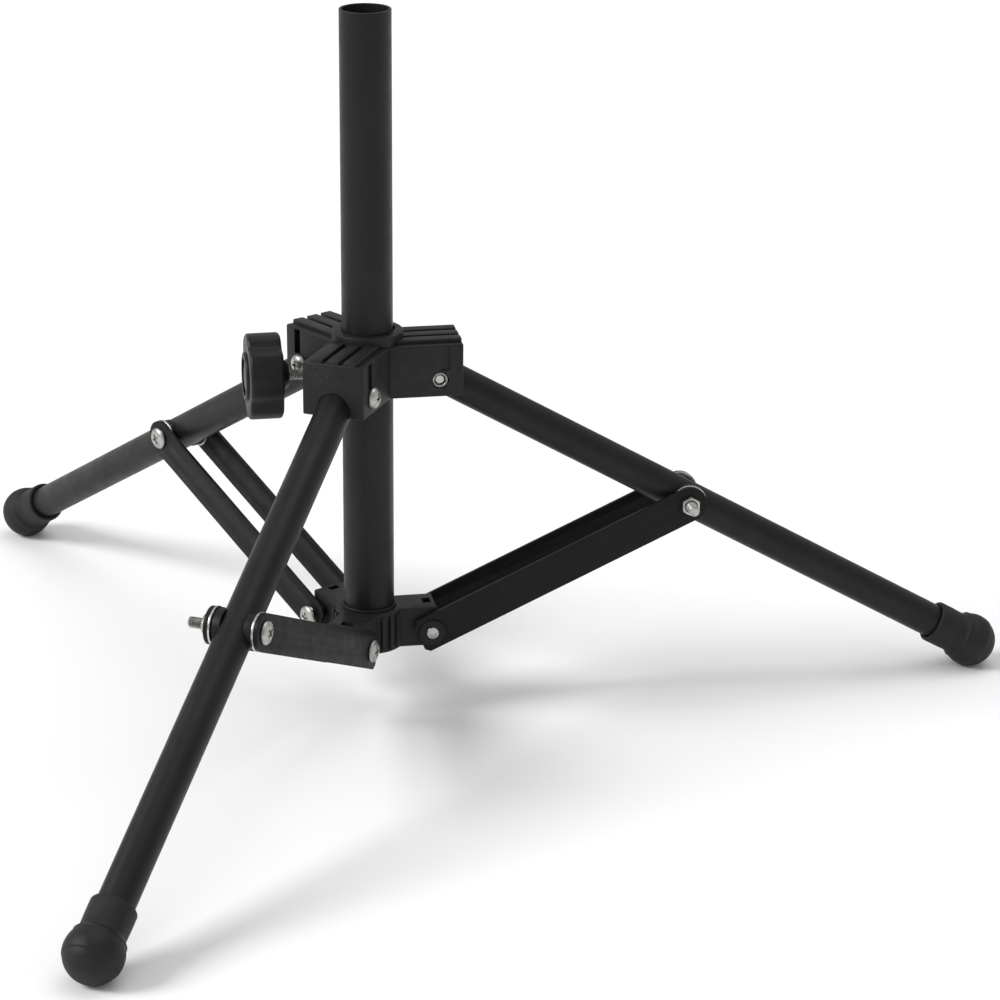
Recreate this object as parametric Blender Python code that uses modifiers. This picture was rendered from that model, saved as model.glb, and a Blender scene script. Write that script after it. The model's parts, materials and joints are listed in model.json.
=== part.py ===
"""Folding tripod base: a centre post in a lower collar, a sliding hub, three tube legs and their braces.

World frame: metres, +Z up along the post. The origin is the middle of the bottom plug's flat face.
Each leg is built in its own frame: X points outward along the ground, Y to the left, Z up.
"""

import math

import bmesh
import bpy
from mathutils import Euler, Matrix, Vector

MM = 0.001
GAP = 0.3  # running gap kept between neighbouring pieces; all lengths below are in millimetres

# Driving dimensions of the linkage
LEG_AZIMUTHS = {"a": 270.0, "b": 30.0, "c": 150.0}  # degrees from +X
KNOB_AZIMUTH = 210.0
SPREAD_ANGLE = 29.8  # legs below the horizontal when spread, degrees
HUB_PIVOT_RADIUS = 37.5
COLLAR_PIVOT_RADIUS = 33.5
LEG_JOINT_DISTANCE = 164.0  # hub pivot to brace joint, along the leg
BRACE_LENGTH = 161.0  # between the two pivots of a bar
COLLAR_PIVOT_Z = 10.0
HUB_DRIFT = 2.3  # sideways play the hub needs on the post in the middle of the fold

# Post and collar
POST_RADIUS, POST_WALL = 14.0, 1.5
POST_BOTTOM, POST_TOP = 2.0, 361.0
COLLAR_BOTTOM, COLLAR_TOP = 0.5, 23.5
COLLAR_RADIUS, COLLAR_ARM_END, COLLAR_ARM_HALF = 19.0, 37.0, 10.8

# Legs and feet
LEG_RADIUS, LEG_WALL = 9.7, 1.4
LEG_INNER_END, LEG_OUTER_END = -12.0, 359.0  # along the leg, from the hub pivot
FOOT_START, FOOT_NECK, FOOT_BALL, FOOT_TIP = 337.0, 355.5, 364.0, 378.0
FOOT_SLEEVE_RADIUS, FOOT_BALL_RADIUS = 12.1, 15.4
FOOT_WEAR = 0.6  # depth of the flat on which a foot stands

# Braces and the stack of pieces on each leg joint, as distances to either side of the leg
BAR_WIDTH, BAR_THICKNESS, BAR_INNER_FACE = 20.0, 2.2, 12.9
BAR_TAIL, BAR_CHAMFER = 8.0, 2.5
SPACER_RADIUS, SPACER_FACE = 9.4, 11.1
WASHER_RADIUS, WASHER_INNER_FACE, WASHER_OUTER_FACE = 9.6, 11.4, 12.6
BOLT_RADIUS, HOLE_RADIUS = 3.0, 3.3
NUT_FLATS, NUT_THICKNESS = 10.0, 3.2
JOINT_TIP = 27.0  # the bolt's threaded end stands well proud of its nut

# Hub, measured from the pivot's height
HUB_ARM_END, HUB_ARM_HALF = 50.3, 17.5
HUB_BOTTOM, HUB_SHOULDER, HUB_RIB_TOP, HUB_RING_TOP = -9.3, 20.2, 22.2, 25.9
HUB_RING_RADIUS = 19.6
HUB_RIB_END, HUB_RIB_WIDTH, HUB_RIB_PITCH = 50.0, 6.8, 9.6
HUB_SLOT_NEAR, HUB_SLOT_FAR, HUB_SLOT_BOTTOM, HUB_SLOT_TOP = 37.7, 42.7, 5.6, 19.2
CAVITY_START, CAVITY_END, CAVITY_HALF, CAVITY_TOP = 21.6, 47.6, 13.0, 16.6
KNOB_HEIGHT = 2.0
BORE_RADIUS = POST_RADIUS + GAP + 0.05

# Clamp, along its axis from the post's axis
PAD_START, PAD_END, PAD_RADIUS = 14.3, 17.5, 5.0
SCREW_START, SCREW_END = 17.8, 49.0
INSERT_START, INSERT_END, INSERT_RADIUS = 22.0, 29.7, 5.2
BOSS_END, BOSS_RADIUS = 30.0, 8.5
KNOB_START, KNOB_END, KNOB_RADIUS = 47.9, 66.3, 23.5
KNOB_LOBES, KNOB_PHASE, KNOB_STEPS = 4, 63.0, 56  # the phase is a valley's direction, degrees

SIDES = {"left": 1.0, "right": -1.0}

# Name: (colour, roughness, metallic)
MATERIALS = {
    "powder_coat": ((0.020, 0.020, 0.022, 1.0), 0.48, 0.0),
    "black_plastic": ((0.024, 0.024, 0.026, 1.0), 0.50, 0.0),
    "rubber": ((0.018, 0.018, 0.018, 1.0), 0.72, 0.0),
    "bar_steel": ((0.024, 0.024, 0.027, 1.0), 0.42, 0.1),
    "zinc": ((0.62, 0.61, 0.59, 1.0), 0.34, 1.0),
    "brass": ((0.70, 0.52, 0.24, 1.0), 0.35, 1.0),
}


def rad(degrees):
    return math.radians(degrees)


LEG_JOINT_RADIUS = HUB_PIVOT_RADIUS + LEG_JOINT_DISTANCE * math.cos(rad(SPREAD_ANGLE))
BRACE_RUN = LEG_JOINT_RADIUS - COLLAR_PIVOT_RADIUS
BRACE_ANGLE = math.degrees(math.acos(BRACE_RUN / BRACE_LENGTH))  # above the horizontal
LEG_JOINT_Z = COLLAR_PIVOT_Z + BRACE_LENGTH * math.sin(rad(BRACE_ANGLE))
HUB_PIVOT_Z = LEG_JOINT_Z + LEG_JOINT_DISTANCE * math.sin(rad(SPREAD_ANGLE))
FLOOR_Z = HUB_PIVOT_Z - FOOT_BALL * math.sin(rad(SPREAD_ANGLE)) - FOOT_BALL_RADIUS + FOOT_WEAR


# ---------------------------------------------------------------- scene helpers

def start_clean():
    for leftover in list(bpy.data.objects):
        bpy.data.objects.remove(leftover, do_unlink=True)


def new_collection(name):
    collection = bpy.data.collections.new(name)
    bpy.context.scene.collection.children.link(collection)
    return collection


def new_material(name):
    colour, roughness, metallic = MATERIALS[name]
    material = bpy.data.materials.new(name)
    material.use_nodes = True
    shader = material.node_tree.nodes["Principled BSDF"]
    shader.inputs["Base Color"].default_value = colour
    shader.inputs["Roughness"].default_value = roughness
    shader.inputs["Metallic"].default_value = metallic
    material.diffuse_color = colour
    return material


def empty(name, location, rotation=(0, 0, 0)):
    """A joint's frame: location in millimetres, rotation in degrees."""
    holder = bpy.data.objects.new(name, None)
    parts.objects.link(holder)
    holder.location = Vector(location) * MM
    holder.rotation_euler = Euler([rad(angle) for angle in rotation])
    return holder


def place(piece, parent=None, at=(0, 0, 0), turn=(0, 0, 0)):
    piece.parent = parent
    piece.location = Vector(at) * MM
    piece.rotation_euler = Euler([rad(angle) for angle in turn])
    return piece


def finish_mesh(mesh, sharp_angle=35):
    mesh.shade_smooth()
    mesh.set_sharp_from_angle(angle=rad(sharp_angle))


def part(name, mesh, material, sharp_angle=35):
    """A node of the object."""
    finish_mesh(mesh, sharp_angle)
    piece = bpy.data.objects.new(name, mesh)
    parts.objects.link(piece)
    mesh.materials.clear()
    mesh.materials.append(materials[material])
    return piece


def cutter(name, mesh, parent=None, at=(0, 0, 0), turn=(0, 0, 0)):
    """A shape used only by Booleans."""
    piece = bpy.data.objects.new(name, mesh)
    tools.objects.link(piece)
    piece.hide_render = True
    piece.display_type = "WIRE"
    return place(piece, parent, at, turn)


def boolean(piece, other, operation="DIFFERENCE"):
    modifier = piece.modifiers.new(operation.lower(), "BOOLEAN")
    modifier.object = other
    modifier.operation = operation
    return modifier


# ---------------------------------------------------------------- shape helpers

def box_mesh(low, high, bevel=0.0):
    """A box between two corners, with all its edges rounded by bevel."""
    mesh = bpy.data.meshes.new("box")
    shape = bmesh.new()
    bmesh.ops.create_cube(shape, size=1.0)
    low, high = Vector(low) * MM, Vector(high) * MM
    size, middle = high - low, (high + low) / 2
    for vertex in shape.verts:
        vertex.co = Vector([c * s for c, s in zip(vertex.co, size)]) + middle
    if bevel:
        bmesh.ops.bevel(shape, geom=shape.edges[:], offset=bevel * MM, segments=1, affect="EDGES")
    shape.to_mesh(mesh)
    shape.free()
    return mesh


def cylinder_mesh(radius, start, end, segments=32, end_radius=None):
    """A cylinder or cone on the Z axis."""
    mesh = bpy.data.meshes.new("cylinder")
    shape = bmesh.new()
    middle = Matrix.Translation((0, 0, (start + end) / 2 * MM))
    bmesh.ops.create_cone(shape, cap_ends=True, segments=segments, radius1=radius * MM,
                          radius2=(radius if end_radius is None else end_radius) * MM,
                          depth=(end - start) * MM, matrix=middle)
    shape.to_mesh(mesh)
    shape.free()
    return mesh


def baked(piece):
    """The mesh of a curve or of an object with modifiers; the object is removed."""
    bpy.context.view_layer.update()
    evaluated = piece.evaluated_get(bpy.context.evaluated_depsgraph_get())
    mesh = bpy.data.meshes.new_from_object(evaluated)
    bpy.data.objects.remove(piece, do_unlink=True)
    shape = bmesh.new()
    shape.from_mesh(mesh)
    bmesh.ops.remove_doubles(shape, verts=shape.verts[:], dist=0.01 * MM)
    shape.to_mesh(mesh)
    shape.free()
    return mesh


def turned_mesh(profile, segments=32, closed=False):
    """A profile of (radius, height) points, top to bottom on its outer side, turned about Z."""
    mesh = bpy.data.meshes.new("profile")
    points = [(radius * MM, 0, height * MM) for radius, height in profile]
    edges = [(i, i + 1) for i in range(len(points) - 1)]
    if closed:
        edges.append((len(points) - 1, 0))
    mesh.from_pydata(points, edges, [])
    piece = bpy.data.objects.new("profile", mesh)
    tools.objects.link(piece)
    screw = piece.modifiers.new("turn", "SCREW")
    screw.axis = "Z"
    screw.steps = screw.render_steps = segments
    screw.use_merge_vertices = True
    screw.merge_threshold = 0.001 * MM
    return baked(piece)


def arc(centre, radius, start, end, steps):
    """Points on an arc, angles in degrees from +X (outward) towards +Z."""
    angles = [rad(start + (end - start) * i / steps) for i in range(steps + 1)]
    return [(centre[0] + radius * math.cos(a), centre[1] + radius * math.sin(a)) for a in angles]


def circle(radius, centre=(0, 0), steps=20, turn=0.0):
    return arc(centre, radius, turn, turn + 360, steps)[:-1]


def plate_mesh(outline, holes, start, end):
    """A flat outline in X and Y with holes, extruded along Z from start to end."""
    curve = bpy.data.curves.new("plate", "CURVE")
    curve.dimensions = "2D"
    curve.fill_mode = "BOTH"
    curve.extrude = (end - start) / 2 * MM
    for loop in [outline] + list(holes):
        spline = curve.splines.new("POLY")
        spline.points.add(len(loop) - 1)
        for point, (x, y) in zip(spline.points, loop):
            point.co = (x * MM, y * MM, 0, 1)
        spline.use_cyclic_u = True
    piece = bpy.data.objects.new("plate", curve)
    tools.objects.link(piece)
    mesh = baked(piece)
    mesh.transform(Matrix.Translation((0, 0, (start + end) / 2 * MM)))
    return mesh


def tube_mesh(radius, wall, start, end, segments):
    """An open cylinder on the Z axis, given its wall by Solidify."""
    mesh = bpy.data.meshes.new("tube")
    shape = bmesh.new()
    bmesh.ops.create_cone(shape, cap_ends=False, segments=segments, radius1=radius * MM,
                          radius2=radius * MM, depth=(end - start) * MM,
                          matrix=Matrix.Translation((0, 0, (start + end) / 2 * MM)))
    shape.to_mesh(mesh)
    shape.free()
    piece = bpy.data.objects.new("tube", mesh)
    tools.objects.link(piece)
    solidify = piece.modifiers.new("wall", "SOLIDIFY")
    solidify.thickness = wall * MM
    solidify.offset = -1
    return baked(piece)


def ring_mesh(inner, outer, start, end, segments=28):
    """A washer or sleeve."""
    profile = [(inner, end), (outer, end), (outer, start), (inner, start)]
    return turned_mesh(profile, segments, closed=True)


def bolt_mesh(head_radius, head_face, head_height, tip):
    """A pan-head bolt on Z: head above head_face, shank down to tip."""
    top = head_face + head_height
    profile = [(0, top), (head_radius * 0.65, top), (head_radius * 0.9, top - head_height * 0.25),
               (head_radius, top - head_height * 0.6), (head_radius, head_face),
               (BOLT_RADIUS, head_face), (BOLT_RADIUS, tip + 0.7), (BOLT_RADIUS - 0.7, tip), (0, tip)]
    return turned_mesh(profile, 20)


def nut_mesh(flats, start, end, hole=HOLE_RADIUS):
    return plate_mesh(circle(flats / math.sqrt(3), steps=6), [circle(hole, steps=16)], start, end)


# ---------------------------------------------------------------- joint frames

TO_LEFT = (-90, 0, 0)  # turns a piece's Z axis to the leg's left
TO_HUB = (0, -90, 0)  # turns a piece's Z axis back along the leg, towards the hub


def polar(radius, azimuth, height):
    return (radius * math.cos(rad(azimuth)), radius * math.sin(rad(azimuth)), height)


def leg_frame(leg):
    """The leg's moving frame, X down along the tube. Leg a turns on its brace, b and c on the hub."""
    azimuth = LEG_AZIMUTHS[leg]
    if leg == "a":
        pivot = polar(LEG_JOINT_RADIUS, azimuth, LEG_JOINT_Z)
    else:
        pivot = polar(HUB_PIVOT_RADIUS, azimuth, HUB_PIVOT_Z)
    return empty(f"leg_{leg}_pivot", pivot, (0, SPREAD_ANGLE, azimuth))


def brace_frame(leg):
    """The bars' moving frame, X from the leg joint to the collar. Braces b and c turn on their legs."""
    azimuth = LEG_AZIMUTHS[leg]
    if leg == "a":
        pivot = polar(COLLAR_PIVOT_RADIUS, azimuth, COLLAR_PIVOT_Z)
    else:
        pivot = polar(LEG_JOINT_RADIUS, azimuth, LEG_JOINT_Z)
    return empty(f"brace_{leg}_pivot", pivot, (0, 180 - BRACE_ANGLE, azimuth))


# ---------------------------------------------------------------- root body

def make_post():
    tube = tube_mesh(POST_RADIUS, POST_WALL, POST_BOTTOM, POST_TOP, 56)
    part("center_post", tube, "powder_coat")

    stem = POST_RADIUS - POST_WALL - GAP
    plug = [(0, 16), (stem, 16), (stem, POST_BOTTOM - GAP),
            (POST_RADIUS, POST_BOTTOM - GAP), (POST_RADIUS, 0.5), (POST_RADIUS - 0.5, 0), (0, 0)]
    part("post_bottom_plug", turned_mesh(plug, 32), "black_plastic")

    seat_start = COLLAR_TOP + 0.2
    seat = ring_mesh(POST_RADIUS + GAP, POST_RADIUS + 1.3, seat_start, seat_start + 1.5, 48)
    part("post_seat_ring", seat, "black_plastic")


def make_collar():
    """The lower collar: a ribbed sleeve round the post, with an arm for each pair of bars."""
    collar = part("lower_collar", cylinder_mesh(COLLAR_RADIUS, COLLAR_BOTTOM, COLLAR_TOP, 40),
                  "black_plastic")
    for leg, azimuth in LEG_AZIMUTHS.items():
        arm = box_mesh((0, -COLLAR_ARM_HALF, COLLAR_BOTTOM),
                       (COLLAR_ARM_END, COLLAR_ARM_HALF, COLLAR_TOP), 0.8)
        boolean(collar, cutter(f"collar_arm_{leg}", arm, turn=(0, 0, azimuth)), "UNION")
        for offset in (45, 60, 75):
            rib = box_mesh((COLLAR_RADIUS - 2, -1, 2), (COLLAR_RADIUS + 1.8, 1, COLLAR_TOP - 2))
            name = f"collar_rib_{leg}_{offset}"
            boolean(collar, cutter(name, rib, turn=(0, 0, azimuth + offset)), "UNION")
    bore = cylinder_mesh(POST_RADIUS + GAP, -5, COLLAR_TOP + 5, 48)
    boolean(collar, cutter("collar_bore", bore))
    for leg, azimuth in LEG_AZIMUTHS.items():
        hole = cylinder_mesh(HOLE_RADIUS, -30, 30, 16)
        at = polar(COLLAR_PIVOT_RADIUS, azimuth, COLLAR_PIVOT_Z)
        boolean(collar, cutter(f"collar_hole_{leg}", hole, at=at, turn=(-90, 0, azimuth)))
        notch = box_mesh((COLLAR_ARM_END - 7, -3.5, COLLAR_TOP - 2.5),
                         (COLLAR_ARM_END - 2.5, 3.5, COLLAR_TOP + 2))
        boolean(collar, cutter(f"collar_notch_{leg}", notch, turn=(0, 0, azimuth)))
    screw_hole = cylinder_mesh(2.8, POST_RADIUS - 2, COLLAR_RADIUS + 6, 16)
    boolean(collar, cutter("collar_screw_hole", screw_hole, at=(0, 0, COLLAR_PIVOT_Z + 2),
                           turn=(0, 90, 90)))


def make_collar_fasteners():
    screw = turned_mesh([(0, COLLAR_RADIUS - 2), (1.2, COLLAR_RADIUS - 2), (1.2, COLLAR_RADIUS),
                         (2.1, COLLAR_RADIUS), (2.5, COLLAR_RADIUS - 0.4),
                         (2.5, POST_RADIUS + 0.8), (2.0, POST_RADIUS + GAP), (0, POST_RADIUS + GAP)],
                        16)
    place(part("collar_set_screw", screw, "zinc"), at=(0, 0, COLLAR_PIVOT_Z + 2), turn=(0, 90, 90))
    bar_outer = BAR_INNER_FACE + BAR_THICKNESS
    for leg, azimuth in LEG_AZIMUTHS.items():
        play = 0 if leg == "a" else 0.87 * HUB_DRIFT
        head_face = bar_outer + GAP + play
        tail_inner = -bar_outer + 0.2
        rivet = bolt_mesh(6.2, head_face, 2.6, tail_inner - 0.8)
        pin = part(f"collar_pivot_{leg}", rivet, "zinc")
        place(pin, at=polar(COLLAR_PIVOT_RADIUS, azimuth, COLLAR_PIVOT_Z), turn=(-90, 0, azimuth))


# ---------------------------------------------------------------- braces and legs

def bar_outline():
    """Round at the leg joint, square with cut corners at the collar."""
    half, tail = BAR_WIDTH / 2, BRACE_LENGTH + BAR_TAIL
    outline = arc((0, 0), half, 90, 270, 12)
    outline += [(tail - BAR_CHAMFER, -half), (tail, -half + BAR_CHAMFER),
                (tail, half - BAR_CHAMFER), (tail - BAR_CHAMFER, half)]
    return outline


def collar_hole(leg):
    """Leg a's bars fit their pivot; on b and c, the opened pivots, it is wide enough for the drift."""
    if leg == "a":
        return circle(HOLE_RADIUS, (BRACE_LENGTH, 0))
    centre = (BRACE_LENGTH - 0.41 * HUB_DRIFT, -0.59 * HUB_DRIFT)
    return circle(BOLT_RADIUS + 0.72 * HUB_DRIFT + 2 * GAP, centre)


def make_brace(leg):
    frame = brace_frame(leg)
    shift = -BRACE_LENGTH if leg == "a" else 0
    for side, sign in SIDES.items():
        near, far = BAR_INNER_FACE, BAR_INNER_FACE + BAR_THICKNESS
        start, end = (near, far) if sign > 0 else (-far, -near)
        holes = [circle(HOLE_RADIUS), collar_hole(leg)]
        mesh = plate_mesh(bar_outline(), holes, start, end)
        mesh.transform(Matrix.Rotation(rad(-90), 4, "X"))
        bar = part(f"brace_{leg}_{side}", mesh, "bar_steel")
        place(bar, frame, at=(shift, 0, 0))


def foot_mesh():
    """A rubber foot with the bore that takes the tube; height counts back towards the hub."""
    ball, sleeve, mouth = FOOT_BALL_RADIUS, FOOT_SLEEVE_RADIUS, -FOOT_START
    bore = LEG_RADIUS + GAP
    profile = [(bore, mouth - 0.6), (bore + 0.6, mouth)]
    profile += arc((sleeve - 1.1, mouth - 1.1), 1.1, 90, 0, 2)
    profile += [(sleeve, -FOOT_NECK + 1.2), (sleeve + 0.3, -FOOT_NECK)]
    tip_radius = math.sqrt(ball ** 2 - (FOOT_TIP - FOOT_BALL) ** 2)
    first = math.degrees(math.asin(6.0 / ball))
    last = -math.degrees(math.acos(tip_radius / ball))
    profile += arc((0, -FOOT_BALL), ball, first, last, 7)
    profile += [(0, -FOOT_TIP), (0, -LEG_OUTER_END - GAP), (bore, -LEG_OUTER_END - GAP)]
    return turned_mesh(profile, 28, closed=True)


def make_leg(leg):
    frame = leg_frame(leg)
    shift = -LEG_JOINT_DISTANCE if leg == "a" else 0
    joint = shift + LEG_JOINT_DISTANCE

    tube = part(f"leg_tube_{leg}", tube_mesh(LEG_RADIUS, LEG_WALL, -LEG_OUTER_END, -LEG_INNER_END, 36),
                "powder_coat")
    place(tube, frame, at=(shift, 0, 0), turn=TO_HUB)
    for name, distance in (("hub", shift), ("brace", joint)):
        hole = cylinder_mesh(HOLE_RADIUS, -20, 20, 16)
        boolean(tube, cutter(f"leg_hole_{name}_{leg}", hole, frame, (distance, 0, 0), TO_LEFT))

    foot = place(part(f"foot_{leg}", foot_mesh(), "rubber"), frame, (shift, 0, 0), TO_HUB)
    ground = box_mesh((-500, -500, FLOOR_Z - 30), (500, 500, FLOOR_Z))
    boolean(foot, cutter(f"ground_{leg}", ground))

    for side, sign in SIDES.items():
        turn = (-90 * sign, 0, 0)
        spacer = part(f"joint_spacer_{leg}_{side}",
                      cylinder_mesh(SPACER_RADIUS, 6.6, SPACER_FACE, 28), "black_plastic")
        place(spacer, frame, (joint, 0, 0), turn)
        saddle = cylinder_mesh(LEG_RADIUS + GAP, -30, 30, 36)
        boolean(spacer, cutter(f"saddle_{leg}_{side}", saddle, frame, (joint, 0, 0), TO_HUB))
        bore = cylinder_mesh(HOLE_RADIUS, 0, 20, 16)
        boolean(spacer, cutter(f"spacer_bore_{leg}_{side}", bore, frame, (joint, 0, 0), turn))
        washer = part(f"joint_washer_{leg}_{side}",
                      ring_mesh(HOLE_RADIUS, WASHER_RADIUS, WASHER_INNER_FACE, WASHER_OUTER_FACE),
                      "zinc")
        place(washer, frame, (joint, 0, 0), turn)

    face = BAR_INNER_FACE + BAR_THICKNESS + GAP
    bolt = part(f"joint_bolt_{leg}", bolt_mesh(6.3, face, 2.8, -JOINT_TIP), "zinc")
    place(bolt, frame, (joint, 0, 0), TO_LEFT)
    nut = part(f"joint_nut_{leg}", nut_mesh(NUT_FLATS, face, face + NUT_THICKNESS), "zinc")
    place(nut, frame, (joint, 0, 0), (90, 0, 0))


# ---------------------------------------------------------------- hub and clamp

def hub_bore_mesh():
    """The post's bore, drawn out to the side away from leg a by the drift."""
    mesh = cylinder_mesh(BORE_RADIUS, HUB_BOTTOM - 5, HUB_RING_TOP + 5, 56)
    for vertex in mesh.vertices:
        if vertex.co.y > 0:
            vertex.co.y += HUB_DRIFT * MM
    return mesh


def add_hub_arm(hub, frame, leg):
    azimuth = LEG_AZIMUTHS[leg]
    turn = (0, 0, azimuth)
    arm = box_mesh((0, -HUB_ARM_HALF, HUB_BOTTOM), (HUB_ARM_END, HUB_ARM_HALF, HUB_SHOULDER), 0.9)
    boolean(hub, cutter(f"hub_arm_{leg}", arm, frame, turn=turn), "UNION")
    for row in (-1, 0, 1):
        middle, half = row * HUB_RIB_PITCH, HUB_RIB_WIDTH / 2
        rib = box_mesh((4, middle - half, HUB_SHOULDER - 6), (HUB_RIB_END, middle + half, HUB_RIB_TOP),
                       0.5)
        boolean(hub, cutter(f"hub_rib_{leg}_{row + 1}", rib, frame, turn=turn), "UNION")


def cut_hub_arm(hub, frame, leg):
    azimuth = LEG_AZIMUTHS[leg]
    turn = (0, 0, azimuth)
    clear = LEG_RADIUS + 0.4
    cavity = box_mesh((CAVITY_START, -CAVITY_HALF, HUB_BOTTOM - 5),
                      (CAVITY_END, CAVITY_HALF, CAVITY_TOP))
    boolean(hub, cutter(f"hub_cavity_{leg}", cavity, frame, turn=turn))
    arch = cylinder_mesh(clear, 0, 40, 36)
    at = polar(HUB_PIVOT_RADIUS, azimuth, 0)
    boolean(hub, cutter(f"hub_arch_{leg}", arch, frame, at, (0, 90 + SPREAD_ANGLE, azimuth)))
    drop = math.tan(rad(SPREAD_ANGLE)) * (CAVITY_END - HUB_PIVOT_RADIUS)
    mouth = box_mesh((CAVITY_END - 3, -clear - 0.1, HUB_BOTTOM - 5), (HUB_ARM_END + 5, clear + 0.1, -drop))
    boolean(hub, cutter(f"hub_mouth_{leg}", mouth, frame, turn=turn))
    bolt_hole = cylinder_mesh(HOLE_RADIUS, -30, 30, 16)
    boolean(hub, cutter(f"hub_hole_{leg}", bolt_hole, frame, at, (-90, 0, azimuth)))
    pocket = plate_mesh(circle(8.7 / math.sqrt(3), steps=6), [], 14.6, 22)
    boolean(hub, cutter(f"hub_pocket_{leg}", pocket, frame, at, (90, 0, azimuth)))
    for side, sign in SIDES.items():
        near, far = sorted((sign * (CAVITY_HALF - 1), sign * (HUB_ARM_HALF + 5)))
        slot = box_mesh((HUB_SLOT_NEAR, near, HUB_SLOT_BOTTOM), (HUB_SLOT_FAR, far, HUB_SLOT_TOP))
        boolean(hub, cutter(f"hub_slot_{leg}_{side}", slot, frame, turn=turn))


def make_hub():
    frame = empty("hub_pivot", (0, 0, HUB_PIVOT_Z))
    axis = polar(HUB_PIVOT_RADIUS, LEG_AZIMUTHS["a"], HUB_PIVOT_Z)
    frame.location = Vector(axis) * MM
    centre = empty("hub_centre", (0, 0, 0))
    centre.parent = frame
    centre.location = Vector((-axis[0], -axis[1], 0)) * MM

    hub = part("hub_body", cylinder_mesh(HUB_RING_RADIUS, HUB_BOTTOM, HUB_RING_TOP, 48),
               "black_plastic")
    place(hub, centre)
    for leg in LEG_AZIMUTHS:
        add_hub_arm(hub, centre, leg)
    to_knob = (0, 90, KNOB_AZIMUTH)
    boss = cylinder_mesh(BOSS_RADIUS, 0, BOSS_END, 40)
    at = (0, 0, KNOB_HEIGHT)
    boolean(hub, cutter("hub_boss", boss, centre, at, to_knob), "UNION")
    boolean(hub, cutter("hub_bore", hub_bore_mesh(), centre))
    for leg in LEG_AZIMUTHS:
        cut_hub_arm(hub, centre, leg)
    pad_hole = cylinder_mesh(PAD_RADIUS + GAP, 8, INSERT_START - GAP - 1.2, 32)
    boolean(hub, cutter("pad_hole", pad_hole, centre, at, to_knob))
    insert_hole = cylinder_mesh(INSERT_RADIUS + GAP, INSERT_START - GAP, BOSS_END + 5, 32)
    boolean(hub, cutter("insert_hole", insert_hole, centre, at, to_knob))
    screw_hole = cylinder_mesh(HOLE_RADIUS, 12, BOSS_END, 24)
    boolean(hub, cutter("screw_hole", screw_hole, centre, at, to_knob))

    insert = ring_mesh(HOLE_RADIUS, INSERT_RADIUS, INSERT_START, INSERT_END)
    place(part("clamp_insert", insert, "brass"), centre, at, to_knob)
    for leg, azimuth in LEG_AZIMUTHS.items():
        pivot = polar(HUB_PIVOT_RADIUS, azimuth, 0)
        bolt = bolt_mesh(5.8, HUB_ARM_HALF + GAP, 3.7, -HUB_ARM_HALF + 0.2)
        place(part(f"hub_bolt_{leg}", bolt, "zinc"), centre, pivot, (-90, 0, azimuth))
        nut = nut_mesh(8.0, 14.9, 16.9)
        place(part(f"hub_nut_{leg}", nut, "zinc"), centre, pivot, (90, 0, azimuth))
    return centre


def knob_outline():
    """Broad lobes with round valleys."""
    points = []
    for step in range(KNOB_STEPS):
        angle = 2 * math.pi * step / KNOB_STEPS
        valley = max(0.0, math.cos(KNOB_LOBES * (angle - rad(KNOB_PHASE)))) ** 3
        radius = KNOB_RADIUS - 2.6 * valley
        points.append((radius * math.cos(angle), radius * math.sin(angle)))
    return points


def make_clamp(hub_centre):
    """The screw, its knob and the pad that it presses on the post; Z runs outward from the post."""
    frame = place(empty("clamp_axis", (0, 0, 0)), hub_centre, (0, 0, KNOB_HEIGHT), (0, 90, KNOB_AZIMUTH))

    pad = turned_mesh([(0, PAD_END), (PAD_RADIUS - 0.5, PAD_END), (PAD_RADIUS, PAD_END - 0.5),
                       (PAD_RADIUS, PAD_START), (0, PAD_START)], 24)
    place(part("clamp_pad", pad, "black_plastic"), frame)

    screw = turned_mesh([(0, SCREW_END), (BOLT_RADIUS, SCREW_END), (BOLT_RADIUS, SCREW_START + 0.6),
                         (BOLT_RADIUS - 0.6, SCREW_START), (0, SCREW_START)], 20)
    place(part("clamp_screw", screw, "zinc"), frame)

    body = baked_knob()
    knob = place(part("clamp_knob", body, "black_plastic"), frame)
    collar = cylinder_mesh(6.2, KNOB_START - 4.2, KNOB_START + 3, 40, end_radius=10.5)
    boolean(knob, cutter("knob_cone", collar, frame), "UNION")
    boss = cylinder_mesh(14.5, KNOB_END - 3, KNOB_END + 1.6, 48, end_radius=13.0)
    boolean(knob, cutter("knob_boss", boss, frame), "UNION")
    recess = cylinder_mesh(10.6, KNOB_END - 1.2, KNOB_END + 5, 48)
    boolean(knob, cutter("knob_recess", recess, frame))
    socket = cylinder_mesh(BOLT_RADIUS + GAP, KNOB_START - 8, SCREW_END + GAP, 32)
    boolean(knob, cutter("knob_socket", socket, frame))

    cap = turned_mesh([(0, KNOB_END + 1.4), (5, KNOB_END + 1.2), (9, KNOB_END + 0.5),
                       (10.3, KNOB_END - 0.3), (10.3, KNOB_END - 0.9), (0, KNOB_END - 0.9)], 32)
    place(part("knob_cap", cap, "black_plastic"), frame)


def baked_knob():
    mesh = plate_mesh(knob_outline(), [], KNOB_START, KNOB_END)
    piece = bpy.data.objects.new("knob", mesh)
    tools.objects.link(piece)
    bevel = piece.modifiers.new("edge", "BEVEL")
    bevel.width = 1.8 * MM
    bevel.segments = 2
    bevel.limit_method = "ANGLE"
    bevel.angle_limit = rad(50)
    return baked(piece)


start_clean()
parts = new_collection("tripod_hunting_stand")
tools = new_collection("cutters")
materials = {name: new_material(name) for name in MATERIALS}

make_post()
make_collar()
make_collar_fasteners()
for leg_name in LEG_AZIMUTHS:
    make_brace(leg_name)
    make_leg(leg_name)
make_clamp(make_hub())
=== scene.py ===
import json
import math

import bmesh
import bpy
from mathutils import Matrix, Vector


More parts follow.
